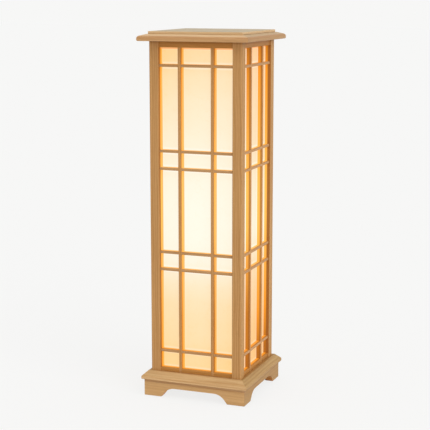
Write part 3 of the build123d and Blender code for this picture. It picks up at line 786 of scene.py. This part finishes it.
# light and dark tone, roughness and scale of the mottle per metre, and what else a finish has
finishes = {
    "zincPlate": dict(light=(196, 196, 190), dark=(168, 168, 160), roughness=0.34, scale=900, metallic=1.0),
    "brassSheet": dict(light=(212, 176, 102), dark=(184, 146, 76), roughness=0.28, scale=700, metallic=1.0),
    "nickelShell": dict(light=(206, 202, 194), dark=(184, 180, 172), roughness=0.24, scale=800, metallic=1.0),
    "pressedFelt": dict(light=(104, 92, 80), dark=(66, 57, 48), roughness=0.95, scale=1400, bump=0.8),
    "blackPlastic": dict(light=(34, 34, 35), dark=(22, 22, 23), roughness=0.5, scale=2200, bump=0.25),
    "firedCeramic": dict(light=(236, 232, 222), dark=(222, 216, 204), roughness=0.4, scale=500, bump=0.1),
    "whitePlastic": dict(light=(238, 236, 230), dark=(230, 227, 220), roughness=0.35, scale=1500, bump=0.1),
    "opalGlobe": dict(
        light=(255, 246, 226), dark=(255, 240, 214), roughness=0.3, scale=60, glow=0.86, rim=(255, 206, 140)),
}
finished = {name: speckledMaterial(name, **values) for name, values in finishes.items()}
finished["plywood"] = plywoodMaterial()
for name, nodes in {
    "zincPlate": ("base_board_screws", "post_screws", "cap_cleat_screws", "pipe_nuts", "pipe_washers"),
    "brassSheet": ("holder_contact",),
    "nickelShell": ("bulb_tip_contact",),
    "pressedFelt": ("foot_pads",),
    "blackPlastic": ("cord_bushing", "bulb_insulator"),
    "firedCeramic": ("holder_insert",),
    "whitePlastic": ("holder_cap", "holder_shell", "bulb_housing"),
    "opalGlobe": ("bulb_globe",),
    "plywood": ("base_board",),
}.items():
    for node in nodes:
        assign(node, finished[name])
print("inside finished")


# Threaded shells, worked out from radii on a grid of heights and angles

def tubeSizes(node):
    # inner and outer radius and end levels of a CAD tube on the lantern's axis, in millimetres
    mesh = frame["nodes"][node].data
    points = np.empty(len(mesh.vertices) * 3, np.float32)
    mesh.vertices.foreach_get("co", points)
    points = points.reshape(-1, 3) / mm
    radii = np.hypot(points[:, 0], points[:, 1])
    return radii.min(), radii.max(), points[:, 2].min(), points[:, 2].max()


def closedTube(name, heights, inner, outer):
    # the wall goes up outside and down inside; each point stands at radius times the cosine of its angle,
    # radius times the sine of its angle, and its height
    rows, columns = outer.shape
    angles = np.linspace(0, 2 * np.pi, columns, endpoint=False)
    radii = np.concatenate((outer, inner[::-1]))
    levels = np.concatenate((heights, heights[::-1]))[:, None] + 0 * radii
    points = np.stack((radii * np.cos(angles), radii * np.sin(angles), levels), axis=-1).reshape(-1, 3)
    row = np.arange(2 * rows)[:, None] * columns
    nextRow = np.roll(row, -1)
    column = np.arange(columns)[None, :]
    nextColumn = np.roll(column, -1)
    quads = np.stack((row + column, row + nextColumn, nextRow + nextColumn, nextRow + column), axis=-1)
    mesh = bpy.data.meshes.new(name)
    mesh.from_pydata(points * mm, [], quads.reshape(-1, 4))
    return mesh


def threadHeight(heights, around, pitch):
    # a helix, 0 in the root and 1 on the crest: a half plus half the cosine of a whole turn times
    # the height in pitches less the share of the way round
    angles = np.linspace(0, 1, around, endpoint=False)
    return 0.5 + 0.5 * np.cos(2 * np.pi * (heights[:, None] / pitch - angles[None, :]))


def fadeEnds(heights, low, high, run):
    # from 0 at both ends of the thread to 1 over the run: three times the square of the share of the run
    # less twice its cube
    share = np.clip(np.minimum(heights - low, high - heights) / run, 0, 1)
    return (share * share * (3 - 2 * share))[:, None]


threads = {
    "pipe": dict(pitch=1.0, depth=0.35, length=26.0, run=1.5, stepsPerTurn=8, around=40),
    "screwCap": dict(pitch=3.62, depth=0.5, run=2.5, stepsPerTurn=14, around=72, sheet=0.15),
    "holder": dict(pitch=3.62, depth=0.35, run=2.5, stepsPerTurn=14, around=72, sheet=0.15),
}


def makePipe():
    values = threads["pipe"]
    bore, crest, low, high = tubeSizes("lamp_pipe")
    count = int(values["length"] / values["pitch"] * values["stepsPerTurn"]) + 1
    lower = np.linspace(low, low + values["length"], count)
    upper = np.linspace(high - values["length"], high, count)
    fade = np.concatenate((fadeEnds(lower, low, low + values["length"], values["run"]),
                           fadeEnds(upper, high - values["length"], high, values["run"])))
    heights = np.concatenate((lower, upper))
    groove = values["depth"] * (1 - threadHeight(heights, values["around"], values["pitch"])) * fade
    mesh = closedTube("lamp_pipe_threaded", heights, 0 * groove + bore, crest - groove)
    addPiece("lamp_pipe_threaded", mesh, finished["zincPlate"], "lamp_pipe")


def makeScrewCap():
    values = threads["screwCap"]
    _, crest, low, high = tubeSizes("bulb_screw_cap")
    heights = np.linspace(low, high, int((high - low) / values["pitch"] * values["stepsPerTurn"]))
    fade = fadeEnds(heights, low, high, values["run"])
    outer = crest - values["depth"] * (1 - threadHeight(heights, values["around"], values["pitch"]) * fade)
    mesh = closedTube("bulb_screw_cap_threaded", heights, outer - values["sheet"], outer)
    addPiece("bulb_screw_cap_threaded", mesh, finished["nickelShell"], "bulb_screw_cap")


def makeHolderThread():
    values = threads["holder"]
    crest, _, low, high = tubeSizes("holder_thread_shell")
    heights = np.linspace(low, high, int((high - low) / values["pitch"] * values["stepsPerTurn"]))
    fade = fadeEnds(heights, low, high, values["run"])
    inner = crest + values["depth"] * threadHeight(heights, values["around"], values["pitch"]) * fade
    mesh = closedTube("holder_thread_rolled", heights, inner, inner + values["sheet"])
    addPiece("holder_thread_rolled", mesh, finished["brassSheet"], "holder_thread_shell")


makePipe()
makeScrewCap()
makeHolderThread()
print("threads rolled")


# Studio: pale floor, even world light and two wide suns

studio = {
    "floorSize": 60.0,
    "floorColour": 0.80,
    "floorRoughness": 0.9,
    "shadeShare": 0.14,  # part of the floor's own shading that the camera sees
    "evenShare": 0.872,  # even tone of the backdrop that it sees beside that
    "backdrop": srgb(247, 247, 246),
    "worldLight": 0.55,
}
suns = {
    "sideSun": dict(azimuth=62.0, elevation=25.0, strength=1.22, spread=45.0),
    "topSun": dict(azimuth=20.0, elevation=78.0, strength=1.10, spread=70.0),
}


def makeFloor():
    half = studio["floorSize"] / 2
    mesh = bpy.data.meshes.new("floor")
    outline = [(-half, -half, 0), (half, -half, 0), (half, half, 0), (-half, half, 0)]
    mesh.from_pydata(outline, [], [(0, 1, 2, 3)])
    floor = bpy.data.objects.new("floor", mesh)
    bpy.context.scene.collection.objects.link(floor)
    material, tree, shader = makeMaterial("paleFloor")
    tone = studio["floorColour"]
    seen = addNode(tree, "ShaderNodeLightPath")
    direct = calc(tree, "MAXIMUM", seen.outputs["Is Camera Ray"], seen.outputs["Is Glossy Ray"])
    shaded = tone * studio["shadeShare"]
    plugIn(tree, shader, {
        "Base Color": blendColour(tree, direct, (tone, tone, tone, 1), (shaded, shaded, shaded, 1)),
        "Roughness": studio["floorRoughness"],
        "Specular IOR Level": 0.0,
        "Emission Color": studio["backdrop"],
        "Emission Strength": calc(tree, "MULTIPLY", direct, studio["evenShare"]),
    })
    mesh.materials.append(material)


def makeWorld():
    world = bpy.data.worlds.new("studio")
    world.use_nodes = True
    tree = world.node_tree
    seen = addNode(tree, "ShaderNodeLightPath")
    direct = calc(tree, "MAXIMUM", seen.outputs["Is Camera Ray"], seen.outputs["Is Glossy Ray"])
    direct = calc(tree, "MAXIMUM", direct, seen.outputs["Is Transmission Ray"])
    level = studio["worldLight"]
    colour = blendColour(tree, direct, (level, level, level, 1), studio["backdrop"])
    tree.links.new(colour, tree.nodes["Background"].inputs["Color"])
    bpy.context.scene.world = world


def makeSun(name, azimuth, elevation, strength, spread):
    light = bpy.data.lights.new(name, "SUN")
    light.energy = strength
    light.angle = math.radians(spread)
    lamp = bpy.data.objects.new(name, light)
    turn, rise = math.radians(azimuth), math.radians(elevation)
    towards = Vector((math.sin(turn) * math.cos(rise), -math.cos(turn) * math.cos(rise), math.sin(rise)))
    lamp.rotation_euler = towards.to_track_quat("Z", "Y").to_euler()
    bpy.context.scene.collection.objects.link(lamp)


makeFloor()
makeWorld()
for name, values in suns.items():
    makeSun(name, **values)
print("studio lit")


# Camera

eye = {"azimuth": 21.03, "distance": 3.135, "height": 1.000, "tilt": 10.07, "pan": -0.092, "lens": 106.83,
       "sensor": 36.0, "clipEnd": 200.0}


def makeCamera():
    data = bpy.data.cameras.new("camera")
    data.sensor_width = eye["sensor"]
    data.lens = eye["lens"]
    data.clip_end = eye["clipEnd"]
    camera = bpy.data.objects.new("camera", data)
    turn, tilt = math.radians(eye["azimuth"]), math.radians(eye["tilt"])
    aim = math.radians(eye["azimuth"] + eye["pan"])
    camera.location = (eye["distance"] * math.sin(turn), -eye["distance"] * math.cos(turn), eye["height"])
    forward = Vector((-math.sin(aim) * math.cos(tilt), math.cos(aim) * math.cos(tilt), -math.sin(tilt)))
    camera.rotation_euler = forward.to_track_quat("-Z", "Y").to_euler()
    bpy.context.scene.collection.objects.link(camera)
    bpy.context.scene.camera = camera


makeCamera()
bpy.context.scene.view_settings.view_transform = "Standard"
print("camera set")
